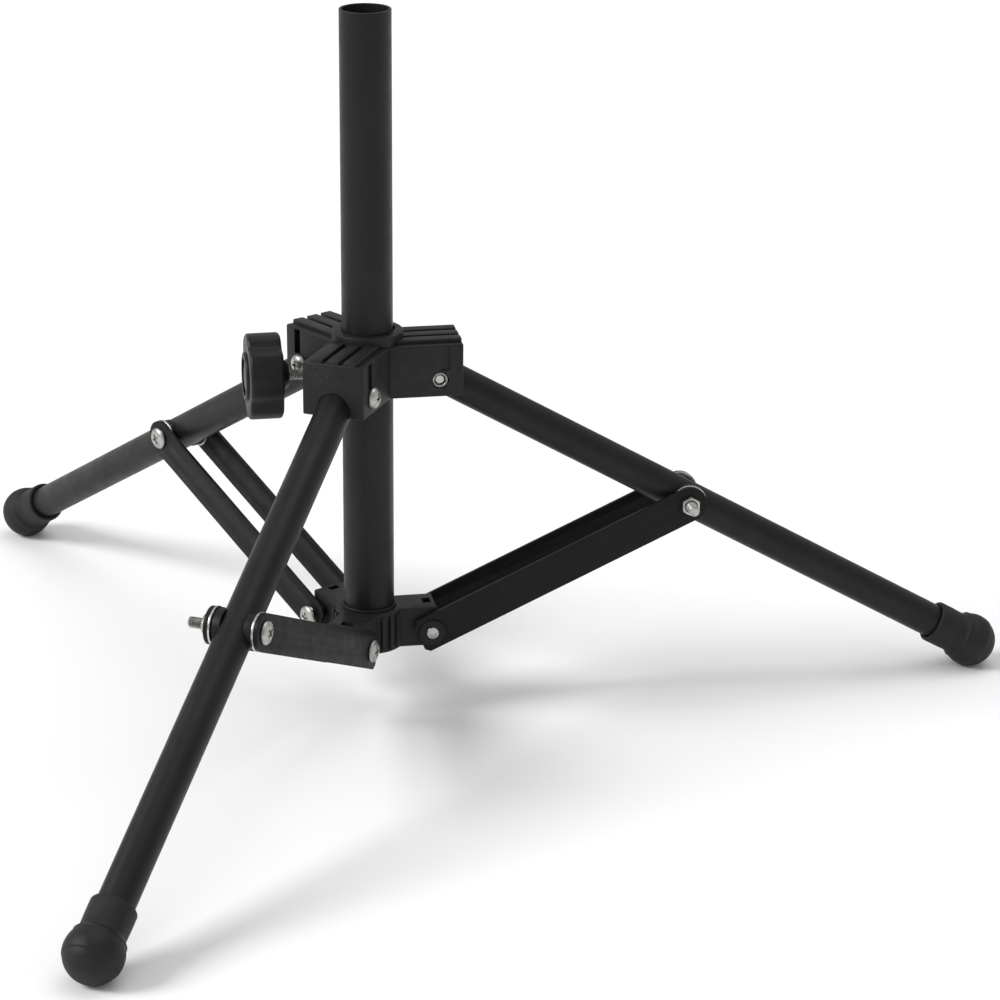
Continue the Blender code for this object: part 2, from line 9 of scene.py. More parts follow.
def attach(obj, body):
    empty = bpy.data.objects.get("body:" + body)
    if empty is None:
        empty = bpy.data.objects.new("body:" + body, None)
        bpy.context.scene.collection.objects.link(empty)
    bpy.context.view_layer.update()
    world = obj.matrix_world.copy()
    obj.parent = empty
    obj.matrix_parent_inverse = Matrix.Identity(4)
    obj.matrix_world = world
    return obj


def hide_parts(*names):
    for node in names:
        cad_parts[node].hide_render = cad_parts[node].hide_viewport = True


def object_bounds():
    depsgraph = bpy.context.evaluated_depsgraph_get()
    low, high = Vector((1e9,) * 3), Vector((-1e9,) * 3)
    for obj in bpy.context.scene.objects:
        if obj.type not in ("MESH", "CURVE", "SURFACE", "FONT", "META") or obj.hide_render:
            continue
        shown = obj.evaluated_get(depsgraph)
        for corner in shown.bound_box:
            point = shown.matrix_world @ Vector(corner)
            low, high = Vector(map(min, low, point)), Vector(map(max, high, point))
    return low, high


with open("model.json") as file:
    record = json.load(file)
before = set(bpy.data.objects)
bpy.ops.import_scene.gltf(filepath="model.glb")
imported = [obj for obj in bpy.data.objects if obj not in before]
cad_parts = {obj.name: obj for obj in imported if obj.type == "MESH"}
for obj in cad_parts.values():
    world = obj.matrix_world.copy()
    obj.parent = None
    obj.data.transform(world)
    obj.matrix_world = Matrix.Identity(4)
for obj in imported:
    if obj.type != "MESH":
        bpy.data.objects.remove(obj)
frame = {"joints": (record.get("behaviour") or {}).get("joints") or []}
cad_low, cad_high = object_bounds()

# Looks of a folding tripod base. Lengths are in millimetres unless a line says otherwise, in the
# same frame as the CAD: +Z up the post. A leg's own frame has X outward along the leg, Y to its
# left and Z up.

MM = 0.001
LEGS = {"a": 270.0, "b": 30.0, "c": 150.0}
SIDES = {"left": 1.0, "right": -1.0}
GAP = 0.3  # between pieces that fit together
OVERCUT = 5.0  # how far a cutter runs past the surface it opens
REACH, SHORT_REACH = 30.0, 20.0  # half the length of a cutter that goes right through

POST_RADIUS, POST_INNER, POST_BOTTOM, POST_TOP = 14.0, 12.5, 2.0, 361.0
PLUG_RADIUS, PLUG_TOP, PLUG_RIM_RADIUS, PLUG_RIM_TOP = 12.1, 16.0, 14.0, 1.7
PLUG_DISH_RADIUS, PLUG_DISH_DEPTH = 8.4, 0.9
SEAT_INNER, SEAT_RADIUS, SEAT_FLARE, SEAT_BOTTOM, SEAT_TOP = 14.25, 15.0, 15.3, 23.7, 25.2

COLLAR_BOTTOM, COLLAR_TOP, COLLAR_RADIUS = 0.5, 23.5, 19.0
COLLAR_ARM_END, COLLAR_ARM_HALF = 37.0, 10.8
COLLAR_RIB_ANGLES, COLLAR_RIB_HALF, COLLAR_RIB_RISE, COLLAR_RIB_INSET = (45, 60, 75), 1.0, 1.8, 2.0
NOTCH_FAR, NOTCH_NEAR, NOTCH_HALF, NOTCH_DEPTH = 7.0, 2.5, 3.5, 2.5  # far and near from the arm's end
SET_SCREW_HEIGHT, SET_SCREW_RADIUS, SET_SCREW_HOLE = 12.0, 2.45, 2.8
SET_SCREW_START, SET_SCREW_END = 14.4, 18.6
SET_HOLE_START, SET_HOLE_END = 12.0, 25.0
COLLAR_PLAY = 2.0  # sideways room for the bars of legs b and c
RIVET_HEAD_RADIUS, RIVET_HEAD_HEIGHT, RIVET_TAIL_RADIUS = 6.2, 2.6, 3.6
RIVET_TAILS = {"a": -14.6, "b": -16.1, "c": -14.6}
COLLAR_DISCS = {"b": (15.35, 16.2), "c": (11.1, 12.6)}  # cover the wide holes in bars b and c
COLLAR_DISC_RADIUS = 7.3

LEG_RADIUS, LEG_INNER = 9.7, 8.3
LEG_INNER_END, LEG_OUTER_END = -12.0, 359.0
FOOT_START, FOOT_NECK, FOOT_BALL, FOOT_TIP = 337.0, 355.5, 364.0, 378.0
FOOT_BALL_RADIUS, FOOT_SLEEVE_RADIUS = 15.4, 12.1
FOOT_FLARE = ((12.1, 9.5), (11.95, 4.5), (12.05, 2.3), (12.6, 0.9), (13.5, 0.1), (13.9, -0.4),
              (13.75, -0.85))  # radius, and distance before the neck
FOOT_SHOULDER_RADIUS = 14.0
FOOT_TREAD_ANGLES = (-20.5, -66.0)

BRACE_LENGTH, BAR_HALF, BAR_TAIL, BAR_CORNER = 161.0, 10.0, 8.0, 2.5
BAR_NEAR, BAR_FAR = 12.9, 15.1
WIDE_HOLE_RADIUS, WIDE_HOLE_BACK, WIDE_HOLE_DOWN = 5.25, 0.41, 0.59  # back and down are shares of the drift
SPACER_RADIUS, SPACER_INNER, SPACER_FACE = 9.4, 6.6, 11.1
WASHER_RADIUS, WASHER_NEAR, WASHER_FAR = 10.3, 11.4, 12.6
BOLT_RADIUS, HOLE_RADIUS, JOINT_TIP = 3.0, 3.3, 27.0
THREAD_DEPTH, THREAD_PITCH = 0.5, 1.0
JOINT_HEAD_RADIUS, JOINT_HEAD_HEIGHT, JOINT_NUT_FLATS, JOINT_NUT_HEIGHT = 6.3, 2.8, 9.5, 3.2

HUB_RING_RADIUS, HUB_ARM_END, HUB_ARM_HALF = 19.6, 50.3, 17.5
HUB_BOTTOM, HUB_SHOULDER, HUB_RIB_TOP, HUB_RING_TOP = -9.3, 20.2, 22.2, 25.9
HUB_RIB_PITCH, HUB_RIB_HALF, HUB_RIB_START, HUB_RIB_END, HUB_RIB_ROOT = 9.6, 3.4, 4.0, 50.0, 6.0
HUB_DRIFT = 2.3  # how far the hub moves towards +Y part-way through the fold
SLOT_NEAR, SLOT_FAR, SLOT_BOTTOM, SLOT_TOP, SLOT_DEPTH = 37.7, 42.7, 5.4, 19.4, 1.0
CAVITY_START, CAVITY_END, CAVITY_HALF, CAVITY_TOP = 21.6, 47.6, 13.0, 16.6
MOUTH_END, ARCH_LENGTH = 55.0, 40.0  # the opening that each leg swings down through
POCKET_FLATS, POCKET_FLOOR, POCKET_END = 8.7, 14.6, 22.0
HUB_NUT_FLATS, HUB_NUT_START, HUB_NUT_END = 8.0, 14.9, 16.9
HUB_HEAD_RADIUS, HUB_HEAD_HEIGHT, HUB_THREAD_START, HUB_SCREW_TIP = 5.8, 3.7, -12.0, -15.5

KNOB_AZIMUTH, KNOB_HEIGHT = 210.0, 2.0
KNOB_START, KNOB_END, KNOB_RADIUS = 47.9, 66.3, 23.5
KNOB_LOBES, KNOB_PHASE, KNOB_VALLEY, KNOB_STEPS = 4, 63.0, 2.6, 160
KNOB_NECK_RADIUS, KNOB_NECK_END, KNOB_NECK_LENGTH, KNOB_SINK = 10.0, 6.2, 4.2, 3.0
FACE_RADIUS, FACE_RISE = 13.2, 1.6
CAP_RADIUS = 10.4
CAP_DOME = ((0.0, 1.4), (4.0, 1.3), (7.0, 0.95), (9.0, 0.45), (10.1, -0.1))  # radius, height
CAP_EDGE, CAP_BACK = -0.5, -0.95
PAD_RADIUS, PAD_START, PAD_END = 5.0, 14.3, 17.5
PAD_ROOM_START, PAD_ROOM_END, CLAMP_HOLE_START = 8.0, 20.5, 12.0
SCREW_START, SCREW_END = 17.9, 48.8
CLAMP_BOSS_RADIUS, CLAMP_BOSS_END = 8.5, 30.0
INSERT_RADIUS, INSERT_START, INSERT_END = 5.2, 22.0, 29.7

FLOOR_HALF, FLOOR_GAP = 12.0, 0.0002  # metres
LIGHT_DISTANCE = 2.5  # metres
CAMERA_PLACE = (0.07295, -1.74717, 0.72318)  # metres, before the turn to its heading
CAMERA_HEADING, CAMERA_PITCH, CAMERA_ROLL = 19.4, 20.038, 0.420
CAMERA_LENS, CAMERA_SENSOR = 120.73, 36.0


# ---------------------------------------------------------------- frames from the record

def joint_point(name):
    joint = next(j for j in frame["joints"] if j["name"] == name)
    return Vector(joint["pos_m"])


def turn_z(degrees):
    return Matrix.Rotation(math.radians(degrees), 4, "Z")


def turn_y(degrees):
    return Matrix.Rotation(math.radians(degrees), 4, "Y")


def turn_x(degrees):
    return Matrix.Rotation(math.radians(degrees), 4, "X")


def moved(point):
    return Matrix.Translation(Vector(point))


def shifted(x=0.0, y=0.0, z=0.0):
    return Matrix.Translation(Vector((x, y, z)) * MM)


HUB_JOINT = joint_point("hub_a_joint")
LEG_JOINT = joint_point("leg_a_joint")
COLLAR_JOINT = joint_point("fold")
HUB_CENTRE = moved((0, 0, HUB_JOINT.z))
TO_LEFT = turn_x(-90)  # Z to the leg's left
TO_RIGHT = turn_x(90)
TO_HUB = turn_y(-90)  # Z back along the leg
CLAMP = moved((0, 0, HUB_JOINT.z + KNOB_HEIGHT * MM)) @ turn_z(KNOB_AZIMUTH) @ turn_y(90)
SET_SCREW = moved((0, 0, SET_SCREW_HEIGHT * MM)) @ turn_z(90) @ turn_y(90)


def around(point, azimuth):
    """A frame at leg a's point, carried round the post to another leg's azimuth."""
    out = math.hypot(point.x, point.y)
    return turn_z(azimuth) @ moved((out, 0, point.z))


def leg_frame(azimuth):
    """Origin on the hub pivot, X down along the tube."""
    run = math.hypot(LEG_JOINT.x, LEG_JOINT.y) - math.hypot(HUB_JOINT.x, HUB_JOINT.y)
    slope = math.degrees(math.atan2(HUB_JOINT.z - LEG_JOINT.z, run))
    return around(HUB_JOINT, azimuth) @ turn_y(slope)


def brace_frame(azimuth):
    """Origin on the leg joint, X towards the collar."""
    run = math.hypot(LEG_JOINT.x, LEG_JOINT.y) - math.hypot(COLLAR_JOINT.x, COLLAR_JOINT.y)
    slope = math.degrees(math.atan2(LEG_JOINT.z - COLLAR_JOINT.z, run))
    return around(LEG_JOINT, azimuth) @ turn_y(180 - slope)


JOINT_DISTANCE = (LEG_JOINT - HUB_JOINT).length / MM
COLLAR_JOINT_RADIUS = math.hypot(COLLAR_JOINT.x, COLLAR_JOINT.y) / MM


# ---------------------------------------------------------------- node materials

class Nodes:
    """Short names for building one material's node tree."""

    def __init__(self, name, roughness, metallic=0.0, specular=0.5):
        self.material = bpy.data.materials.new(name)
        self.material.use_nodes = True
        self.tree = self.material.node_tree
        self.shader = self.tree.nodes["Principled BSDF"]
        self.shader.inputs["Roughness"].default_value = roughness
        self.shader.inputs["Metallic"].default_value = metallic
        self.shader.inputs["Specular IOR Level"].default_value = specular
        self.place = self.tree.nodes.new("ShaderNodeTexCoord").outputs["Object"]

    def stretched(self, scale):
        node = self.tree.nodes.new("ShaderNodeMapping")
        node.inputs["Scale"].default_value = scale
        self.tree.links.new(self.place, node.inputs["Vector"])
        return node.outputs["Vector"]

    def noise(self, scale, detail=3.0, roughness=0.5, vector=None):
        node = self.tree.nodes.new("ShaderNodeTexNoise")
        node.inputs["Scale"].default_value = scale
        node.inputs["Detail"].default_value = detail
        node.inputs["Roughness"].default_value = roughness
        self.tree.links.new(vector or self.place, node.inputs["Vector"])
        return node.outputs["Fac"]

    def cells(self, scale):
        node = self.tree.nodes.new("ShaderNodeTexVoronoi")
        node.inputs["Scale"].default_value = scale
        self.tree.links.new(self.place, node.inputs["Vector"])
        return node.outputs["Distance"]

    def spread(self, value, low, high, out_low, out_high):
        node = self.tree.nodes.new("ShaderNodeMapRange")
        limits = {"From Min": low, "From Max": high, "To Min": out_low, "To Max": out_high}
        for name, number in limits.items():
            node.inputs[name].default_value = number
        self.tree.links.new(value, node.inputs["Value"])
        return node.outputs["Result"]

    def times(self, first, second):
        node = self.tree.nodes.new("ShaderNodeMath")
        node.operation = "MULTIPLY"
        self.tree.links.new(first, node.inputs[0])
        self.tree.links.new(second, node.inputs[1])
        return node.outputs["Value"]

    def ramp(self, value, stops):
        """Colours along a value; stops are (position, colour)."""
        node = self.tree.nodes.new("ShaderNodeValToRGB")
        band = node.color_ramp
        while len(band.elements) < len(stops):
            band.elements.new(0.5)
        for element, (position, colour) in zip(band.elements, stops):
            element.position = position
            element.color = (*colour, 1.0)
        self.tree.links.new(value, node.inputs["Fac"])
        return node.outputs["Color"]

    def mix(self, share, first, second):
        node = self.tree.nodes.new("ShaderNodeMix")
        node.data_type = "RGBA"
        self.tree.links.new(share, node.inputs["Factor"])
        self.tree.links.new(first, node.inputs["A"])
        self.tree.links.new(second, node.inputs["B"])
        return node.outputs["Result"]

    def bump(self, height, strength, distance):
        node = self.tree.nodes.new("ShaderNodeBump")
        node.inputs["Strength"].default_value = strength
        node.inputs["Distance"].default_value = distance
        self.tree.links.new(height, node.inputs["Height"])
        previous = self.shader.inputs["Normal"]
        if previous.is_linked:
            self.tree.links.new(previous.links[0].from_socket, node.inputs["Normal"])
        self.tree.links.new(node.outputs["Normal"], previous)

    def set(self, name, value):
        self.tree.links.new(value, self.shader.inputs[name])


def grey(value, tint=0.0):
    """A dark neutral, a little towards blue as tint grows."""
    return (value, value, value * (1 + tint))


def coated_metal(name, dark, light, roughness, grain):
    """Powder coat: fine orange peel over broad soft unevenness, with a little settled dust."""
    made = Nodes(name, roughness, specular=0.24)
    patches = made.noise(28, 4, 0.6)
    base = made.ramp(patches, [(0.30, grey(dark, 0.10)), (0.72, grey(light, 0.12))])
    specks = made.spread(made.noise(2600, 2, 0.6), 0.66, 0.80, 0.0, 0.35)
    dust = made.ramp(patches, [(0.0, grey(light * 2.6)), (1.0, grey(light * 3.2))])
    made.set("Base Color", made.mix(specks, base, dust))
    made.set("Roughness", made.spread(made.noise(90, 4, 0.65), 0.3, 0.75, roughness - 0.07, roughness + 0.09))
    made.bump(made.noise(grain, 3, 0.55), 0.35, 0.00016)
    made.bump(made.noise(140, 3, 0.5), 0.12, 0.0004)
    return made.material


def moulded(name, dark, light, roughness):
    """Glass-filled nylon: spark-eroded grain, faint flow patches and paler rubbed spots."""
    made = Nodes(name, roughness, specular=0.24)
    flow = made.noise(60, 5, 0.6, made.stretched((1.0, 1.0, 0.4)))
    base = made.ramp(flow, [(0.28, grey(dark, 0.08)), (0.75, grey(light, 0.14))])
    rubbed = made.spread(made.times(made.noise(420, 3, 0.7), made.noise(35, 2, 0.5)), 0.30, 0.42, 0.0, 0.30)
    pale = made.ramp(flow, [(0.0, grey(light * 2.2)), (1.0, grey(light * 3.0, 0.05))])
    made.set("Base Color", made.mix(rubbed, base, pale))
    made.set("Roughness", made.spread(flow, 0.3, 0.7, roughness - 0.08, roughness + 0.08))
    made.bump(made.cells(1500), 0.30, 0.00012)
    made.bump(made.noise(520, 3, 0.6), 0.18, 0.0002)
    return made.material


def rubber_skin():
    made = Nodes("foot_rubber", 0.62, specular=0.30)
    bloom = made.noise(45, 4, 0.6)
    base = made.ramp(bloom, [(0.30, grey(0.007, 0.05)), (0.72, grey(0.013, 0.06))])
    dusty = made.ramp(bloom, [(0.0, (0.028, 0.027, 0.025)), (1.0, (0.040, 0.038, 0.035))])
    scuffs = made.spread(made.noise(330, 4, 0.7, made.stretched((1.0, 1.0, 2.2))), 0.58, 0.74, 0.0, 0.45)
    made.set("Base Color", made.mix(scuffs, base, dusty))
    made.set("Roughness", made.spread(bloom, 0.3, 0.7, 0.46, 0.66))
    made.bump(made.noise(1100, 3, 0.6), 0.28, 0.00018)
    made.bump(made.noise(160, 3, 0.6), 0.22, 0.0005)
    return made.material


def painted_bar():
    """Satin paint over rolled flat bar: long faint rolling marks and small chips."""
    made = Nodes("bar_paint", 0.44, specular=0.14)
    rolled = made.noise(24, 5, 0.65)
    base = made.ramp(rolled, [(0.30, grey(0.0075, 0.12)), (0.74, grey(0.0120, 0.14))])
    chips = made.spread(made.noise(700, 2, 0.5), 0.735, 0.76, 0.0, 0.7)
    worn = made.ramp(rolled, [(0.0, grey(0.06)), (1.0, grey(0.09))])
    made.set("Base Color", made.mix(chips, base, worn))
    made.set("Roughness", made.spread(made.noise(120, 4, 0.65), 0.3, 0.72, 0.37, 0.54))
    made.bump(made.noise(1500, 3, 0.55), 0.26, 0.00014)
    made.bump(made.noise(75, 3, 0.5), 0.10, 0.0006)
    return made.material


def plated(name, dark, light, roughness):
    """Zinc plate: cloudy passivation, fine scratches and grey grime in the lows."""
    made = Nodes(name, roughness, metallic=1.0)
    cloud = made.noise(260, 4, 0.65)
    base = made.ramp(cloud, [(0.25, dark), (0.55, light), (0.80, tuple(c * 1.12 for c in light))])
    grime = made.spread(made.noise(900, 4, 0.7), 0.56, 0.72, 0.0, 0.75)
    dirt = made.ramp(cloud, [(0.0, (0.10, 0.095, 0.085)), (1.0, (0.15, 0.14, 0.125))])
    made.set("Base Color", made.mix(grime, base, dirt))
    fine = made.noise(1400, 3, 0.6)
    made.set("Roughness", made.spread(fine, 0.3, 0.75, roughness - 0.08, roughness + 0.16))
    made.bump(made.noise(3200, 2, 0.6, made.stretched((1.0, 1.0, 6.0))), 0.20, 0.00008)
    made.bump(made.noise(600, 3, 0.6), 0.20, 0.00016)
    return made.material


POWDER = coated_metal("powder_coat_fine", 0.0070, 0.0115, 0.42, 1900)
HUB_PLASTIC = moulded("nylon_grained", 0.0095, 0.0150, 0.48)
KNOB_PLASTIC = moulded("nylon_knob", 0.0065, 0.0105, 0.44)
SPACER_PLASTIC = moulded("nylon_spacer", 0.0060, 0.0100, 0.48)
RUBBER = rubber_skin()
BAR_PAINT = painted_bar()
ZINC = plated("zinc_plate", (0.26, 0.255, 0.24), (0.50, 0.495, 0.47), 0.34)
WASHER_STEEL = plated("washer_steel", (0.38, 0.38, 0.365), (0.62, 0.62, 0.60), 0.26)
BRASS = plated("brass_turned", (0.50, 0.36, 0.15), (0.74, 0.56, 0.27), 0.30)


# ---------------------------------------------------------------- mesh helpers

def mesh_of(shape):
    bmesh.ops.recalc_face_normals(shape, faces=shape.faces[:])
    mesh = bpy.data.meshes.new("mesh")
    shape.to_mesh(mesh)
    shape.free()
    return mesh


def ring_of(shape, radius, height, segments):
    if radius < 1e-6:
        return [shape.verts.new((0, 0, height))]
    angles = [2 * math.pi * i / segments for i in range(segments)]
    return [shape.verts.new((radius * math.cos(a), radius * math.sin(a), height)) for a in angles]


def bridge(shape, upper, lower, segments):
    for i in range(segments):
        corners = [upper[i % len(upper)], upper[(i + 1) % len(upper)],
                   lower[(i + 1) % len(lower)], lower[i % len(lower)]]
        distinct = list(dict.fromkeys(corners))
        if len(distinct) > 2:
            shape.faces.new(distinct)


def lathe(profile, segments=72, closed=True):
    """A profile of (radius, height) turned about Z. Open profiles end on the axis."""
    shape = bmesh.new()
    rings = [ring_of(shape, radius, height, segments) for radius, height in profile]
    pairs = list(zip(rings, rings[1:]))
    if closed:
        pairs.append((rings[-1], rings[0]))
    for upper, lower in pairs:
        bridge(shape, upper, lower, segments)
    return mesh_of(shape)


def rounded(points, reach, steps=3, closed=True):
    """The path with its corners rounded; a point may carry its own reach as a third number."""
    result = []
    count = len(points)
    for i, point in enumerate(points):
        here = Vector(point[:2])
        if not closed and i in (0, count - 1):
            result.append(tuple(here))
            continue
        back = Vector(points[i - 1][:2]) - here
        ahead = Vector(points[(i + 1) % count][:2]) - here
        own = point[2] if len(point) > 2 else reach
        size = min(own, 0.46 * back.length, 0.46 * ahead.length)
        if size <= 0:
            result.append(tuple(here))
            continue
        first = here + back.normalized() * size
        last = here + ahead.normalized() * size
        for step in range(steps + 1):
            t = step / steps
            result.append(tuple(first * (1 - t) ** 2 + here * 2 * t * (1 - t) + last * t ** 2))
    return result


def turned(points, reach, segments):
    """A solid of revolution from a profile with rounded corners and both ends on the axis."""
    return lathe(rounded(points, reach, closed=False), segments, closed=False)


def arc(centre, radius, start, end, steps):
    angles = [math.radians(start + (end - start) * i / steps) for i in range(steps + 1)]
    return [(centre[0] + radius * math.cos(a), centre[1] + radius * math.sin(a)) for a in angles]


def circle(radius, centre=(0, 0), steps=48):
    return arc(centre, radius, 0, 360, steps)[:-1]


def evaluated(mesh, modifiers):
    """The mesh after modifiers; each is (kind, {setting: value}), and a mesh value is a cutter."""
    work = bpy.data.objects.new("work", mesh)
    bpy.context.scene.collection.objects.link(work)
    helpers = []
    for kind, settings in modifiers:
        modifier = work.modifiers.new(kind, kind)
        for name, value in settings.items():
            if isinstance(value, bpy.types.Mesh):
                value = bpy.data.objects.new("cutter", value)
                bpy.context.scene.collection.objects.link(value)
                helpers.append(value)
            setattr(modifier, name, value)
    bpy.context.view_layer.update()
    source = work.evaluated_get(bpy.context.evaluated_depsgraph_get())
    made = bpy.data.meshes.new_from_object(source)
    for helper in [work] + helpers:
        bpy.data.objects.remove(helper)
    return made


def bevelled(mesh, width, segments=2, angle=35):
    return evaluated(mesh, [("BEVEL", {"width": width, "segments": segments, "limit_method": "ANGLE",
                                       "angle_limit": math.radians(angle)})])


def joined(mesh, *others):
    return evaluated(mesh, [("BOOLEAN", {"operation": "UNION", "object": other}) for other in others])


def cut(mesh, *others):
    return evaluated(mesh, [("BOOLEAN", {"operation": "DIFFERENCE", "object": other}) for other in others])


def placed(mesh, *matrices):
    """The mesh moved by matrices given in millimetres."""
    for matrix in reversed(matrices):
        mesh.transform(matrix)
    return mesh


def move_mm(x=0.0, y=0.0, z=0.0):
    return Matrix.Translation(Vector((x, y, z)))


def box(low, high, bevel=0.0, segments=3):
    shape = bmesh.new()
    bmesh.ops.create_cube(shape, size=1.0)
    low, high = Vector(low), Vector(high)
    for vertex in shape.verts:
        vertex.co = Vector([c * s for c, s in zip(vertex.co, high - low)]) + (high + low) / 2
    if bevel:
        bmesh.ops.bevel(shape, geom=shape.edges[:], offset=bevel, segments=segments, profile=0.5,
                        affect="EDGES")
    return mesh_of(shape)


def drum(radius, start, end, segments=72):
    return lathe([(0, end), (radius, end), (radius, start), (0, start)], segments, closed=False)


def hexagon(flats):
    """A hexagon by its width across flats, with a corner on X."""
    return circle(flats / math.sqrt(3), steps=6)


def merged(*meshes):
    """The meshes as one, with nothing cut or welded."""
    shape = bmesh.new()
    for mesh in meshes:
        shape.from_mesh(mesh)
    mesh = bpy.data.meshes.new("merged")
    shape.to_mesh(mesh)
    shape.free()
    return mesh


def plate(outline, holes, start, end):
    """A flat outline with holes, from start to end along Z."""
    curve = bpy.data.curves.new("plate", "CURVE")
    curve.dimensions = "2D"
    curve.fill_mode = "BOTH"
    curve.extrude = (end - start) / 2
    for loop in [outline] + list(holes):
        spline = curve.splines.new("POLY")
        spline.points.add(len(loop) - 1)
        for point, (x, y) in zip(spline.points, loop):
            point.co = (x, y, 0, 1)
        spline.use_cyclic_u = True
    flat = bpy.data.objects.new("plate", curve)
    bpy.context.scene.collection.objects.link(flat)
    bpy.context.view_layer.update()
    source = flat.evaluated_get(bpy.context.evaluated_depsgraph_get())
    mesh = bpy.data.meshes.new_from_object(source)
    bpy.data.objects.remove(flat)
    shape = bmesh.new()
    shape.from_mesh(mesh)
    bmesh.ops.remove_doubles(shape, verts=shape.verts[:], dist=0.001)
    bmesh.ops.dissolve_limit(shape, angle_limit=math.radians(1), verts=shape.verts[:], edges=shape.edges[:])
    bmesh.ops.translate(shape, verts=shape.verts[:], vec=(0, 0, (start + end) / 2))
    return mesh_of(shape)


def thread(radius, depth, pitch, start, end, segments=40):
    """A screw thread on Z: a V groove on a helix, chamfered at its start."""
    shape = bmesh.new()
    rows = []
    turns = int((end - start) / pitch) + 3
    for row in range(2 * turns):
        ring = []
        for i in range(segments):
            height = start + pitch * (row / 2 - 1 + i / segments)
            crest = radius - (depth if row % 2 else 0)
            height = min(max(height, start), end)
            reach = min(crest, radius - 0.8 + max(0.0, height - start) * 1.2)
            angle = 2 * math.pi * i / segments
            ring.append(shape.verts.new((reach * math.cos(angle), reach * math.sin(angle), height)))
        rows.append(ring)
    for row in range(len(rows) - 1):
        for i in range(segments - 1):
            shape.faces.new((rows[row][i], rows[row][i + 1], rows[row + 1][i + 1], rows[row + 1][i]))
    for row in range(len(rows) - 3):
        shape.faces.new((rows[row][-1], rows[row + 2][0], rows[row + 3][0], rows[row + 1][-1]))
    shape.faces.new(rows[0] + [rows[2][0], rows[1][0]])
    shape.faces.new(rows[-1] + [rows[-2][-1], rows[-3][-1]])
    return mesh_of(shape)


def piece(name, mesh, matrix, body, material, nodes, sharp=32):
    """A finished piece that rides on a body and stands for the CAD nodes named."""
    mesh.transform(matrix @ Matrix.Scale(MM, 4))
    mesh.shade_smooth()
    mesh.set_sharp_from_angle(angle=math.radians(sharp))
    made = bpy.data.objects.new(name, mesh)
    bpy.context.scene.collection.objects.link(made)
    mesh.materials.clear()
    mesh.materials.append(material)
    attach(made, body)
    if nodes:
        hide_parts(*nodes)
    return made


# ---------------------------------------------------------------- fasteners

def cross_recess(top, size, depth):
    """A cutter for a cross-head drive."""
    low, high = (-size, -size * 0.24, top - depth), (size, size * 0.24, top + 1)
    return joined(box(low, high), placed(box(low, high), turn_z(90)))


def pan_head(radius, face, height):
    """A domed head with its drive recess, on Z above face."""
    top = face + height
    dome = [(0, top), (radius * 0.35, top - height * 0.02), (radius * 0.66, top - height * 0.13),
            (radius * 0.88, top - height * 0.34), (radius * 0.985, top - height * 0.62),
            (radius, top - height * 0.80), (radius, face + 0.15), (radius - 0.15, face),
            (BOLT_RADIUS - 0.2, face), (BOLT_RADIUS - 0.2, face - 1.0), (0, face - 1.0)]
    head = cut(lathe(dome, 48, closed=False), cross_recess(top, radius * 0.46, height * 0.45))
    return bevelled(head, 0.10, 1, 50)


def bolt(radius, face, height, tip, threaded_from):
    """A pan-head screw: head, plain shank down to threaded_from, thread to the tip."""
    head = pan_head(radius, face, height)
    shank = drum(BOLT_RADIUS - 0.02, threaded_from, face - 0.5, 40)
    screw = thread(BOLT_RADIUS, THREAD_DEPTH, THREAD_PITCH, tip, threaded_from + 0.5)
    return merged(head, shank, screw)


def hex_nut(flats, start, end):
    """A nut with its corners turned off on both faces."""
    blank = plate(hexagon(flats), [], start, end)
    shoulder = flats / math.sqrt(3) + 0.1
    envelope = lathe([(0, end), (flats * 0.49, end), (shoulder, end - 0.55), (shoulder, start + 0.55),
                      (flats * 0.49, start), (0, start)], 60, closed=False)
    mouth, throat = HOLE_RADIUS + 1.4, HOLE_RADIUS - 0.4
    bore = lathe([(0, end + 1), (mouth, end + 1), (throat, end - 0.8), (throat, start + 0.8),
                  (mouth, start - 1), (0, start - 1)], 40, closed=False)
    body = evaluated(blank, [("BOOLEAN", {"operation": "INTERSECT", "object": envelope}),
                             ("BOOLEAN", {"operation": "DIFFERENCE", "object": bore})])
    return bevelled(body, 0.08, 1, 25)


def washer(inner, outer, start, end):
    return lathe(rounded([(inner, end), (outer, end), (outer, start), (inner, start)], 0.25), 72)


# ---------------------------------------------------------------- post and collar

def build_post():
    tube = rounded([(POST_INNER, POST_TOP), (POST_RADIUS, POST_TOP), (POST_RADIUS, POST_BOTTOM),
                    (POST_INNER, POST_BOTTOM)], 0.4)
    piece("post_tube", lathe(tube, 128), Matrix(), "base", POWDER, ["center_post"])
    plug = turned([(0, PLUG_TOP), (PLUG_RADIUS, PLUG_TOP), (PLUG_RADIUS + 0.1, PLUG_RIM_TOP, 0),
                   (PLUG_RIM_RADIUS, PLUG_RIM_TOP), (PLUG_RIM_RADIUS - 0.1, 0, 0.9),
                   (PLUG_DISH_RADIUS + 0.6, 0, 0.6), (PLUG_DISH_RADIUS, PLUG_DISH_DEPTH, 0.4),
                   (0, PLUG_DISH_DEPTH)], 0.3, 96)
    piece("post_plug", plug, Matrix(), "base", HUB_PLASTIC, ["post_bottom_plug"])
    seat = rounded([(SEAT_INNER, SEAT_TOP), (SEAT_RADIUS, SEAT_TOP, 0.7), (SEAT_FLARE, SEAT_BOTTOM),
                    (SEAT_INNER, SEAT_BOTTOM)], 0.2)
    piece("post_seat", lathe(seat, 128), Matrix(), "base", SPACER_PLASTIC,
          ["post_seat_ring"])


